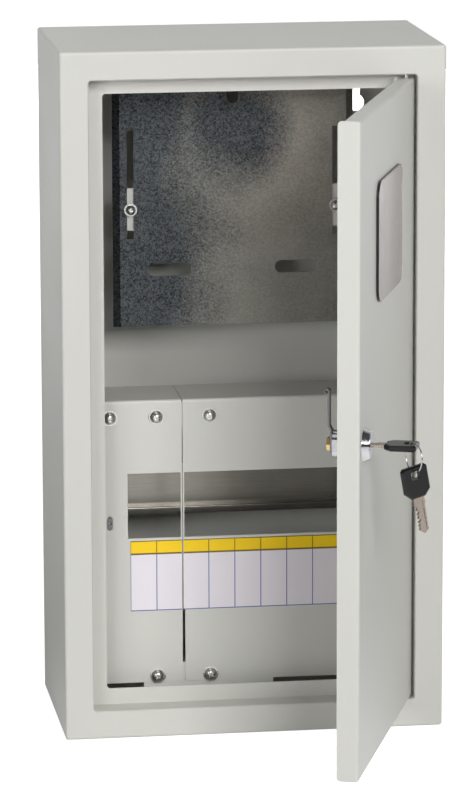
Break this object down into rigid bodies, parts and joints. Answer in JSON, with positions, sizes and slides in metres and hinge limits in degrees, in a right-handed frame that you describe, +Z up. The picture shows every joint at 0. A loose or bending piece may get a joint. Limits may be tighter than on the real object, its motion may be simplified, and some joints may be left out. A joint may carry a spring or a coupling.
{
  "type": "electrical enclosure",
  "caption": "Wall-mounted sheet-steel electrical enclosure with a recessed lockable door with a window, a meter mounting panel above and a covered modular breaker row below.",
  "frame": {"origin": "middle of the flat back face, which goes against the wall", "axes": "+Z up along the cabinet's height, +X to the right seen from the front, +Y into the wall, so the door faces -Y; the door stands open at 70.7 degrees at rest"},
  "size_m": [0.26, 0.3489, 0.47],
  "materials": {
    "paint": "light grey powder coat, slightly textured",
    "door_paint": "light grey powder coat, slightly textured",
    "galvanised": "hot-dip galvanised sheet with a faint spangle",
    "rail_zinc": "zinc-plated rolled strip",
    "zinc_plate": "bright zinc plate",
    "spring_steel": "plated spring steel",
    "steel": "bright zinc plate",
    "chrome": "bright chrome plate",
    "lock_steel": "satin chrome plate",
    "key_steel": "nickel plate",
    "brass": "machined brass",
    "pane": "clear plastic sheet",
    "key_plastic": "black moulded plastic, slightly glossy",
    "label": "printed self-adhesive film"
  },
  "bodies": {
    "cabinet": {"cabinet_shell": "paint", "panel_bracket_left": "paint", "panel_bracket_right": "paint", "panel_washers": "steel", "panel_screws": "steel", "din_rail": "rail_zinc", "rail_bracket_left": "paint", "rail_bracket_right": "paint", "rail_screws": "steel", "cover_plate_left": "paint", "cover_plate_right": "paint", "label_left": "label", "label_right": "label", "cover_screws": "chrome", "cover_upright_left": "paint", "cover_upright_right": "paint", "cover_crossbar": "paint", "floor_bracket": "paint", "sealing_lug": "paint", "earth_stud": "steel", "earth_washer": "steel", "earth_nut": "brass"},
    "door": {"door": "door_paint", "hinge_pin_upper": "steel", "hinge_pin_lower": "steel", "window_pane": "pane", "pane_clips": "spring_steel", "lock_housing": "chrome", "lock_nut": "chrome"},
    "lock_plug": {"lock_plug": "lock_steel", "lock_cam": "zinc_plate", "cam_nut": "brass"},
    "key": {"key_blade": "key_steel", "key_head": "key_plastic"},
    "key_ring": {"key_ring": "chrome"},
    "spare_key": {"spare_key_blade": "key_steel", "spare_key_head": "key_plastic"},
    "meter_panel": {"meter_panel": "galvanised"}
  },
  "joints": [
    {"name": "door_hinge", "type": "hinge", "parent": "cabinet", "child": "door", "pos_m": [0.1037, -0.1378, 0], "axis": [0, 0, 1], "range_deg": [-70.7, 29]},
    {"name": "lock_turn", "type": "hinge", "parent": "door", "child": "lock_plug", "pos_m": [0.044, -0.3234, 0.0032], "axis": [0.9438, -0.3305, 0], "range_deg": [0, 90]},
    {"name": "key_slide", "type": "slide", "parent": "lock_plug", "child": "key", "axis": [0.9438, -0.3305, 0], "range_m": [0, 0.024]},
    {"name": "ring_swing", "type": "hinge", "parent": "key", "child": "key_ring", "pos_m": [0.07324, -0.33915, 0.0032], "axis": [0.3305, 0.9438, 0], "range_deg": [-10, 4]},
    {"name": "spare_key_swing", "type": "hinge", "parent": "key_ring", "child": "spare_key", "pos_m": [0.07324, -0.33915, -0.01265], "axis": [0.3535, -0.9354, 0], "range_deg": [-20, 20]},
    {"name": "panel_slide", "type": "slide", "parent": "cabinet", "child": "meter_panel", "axis": [0, 0, 1], "range_m": [-0.05, 0.017]}
  ]
}
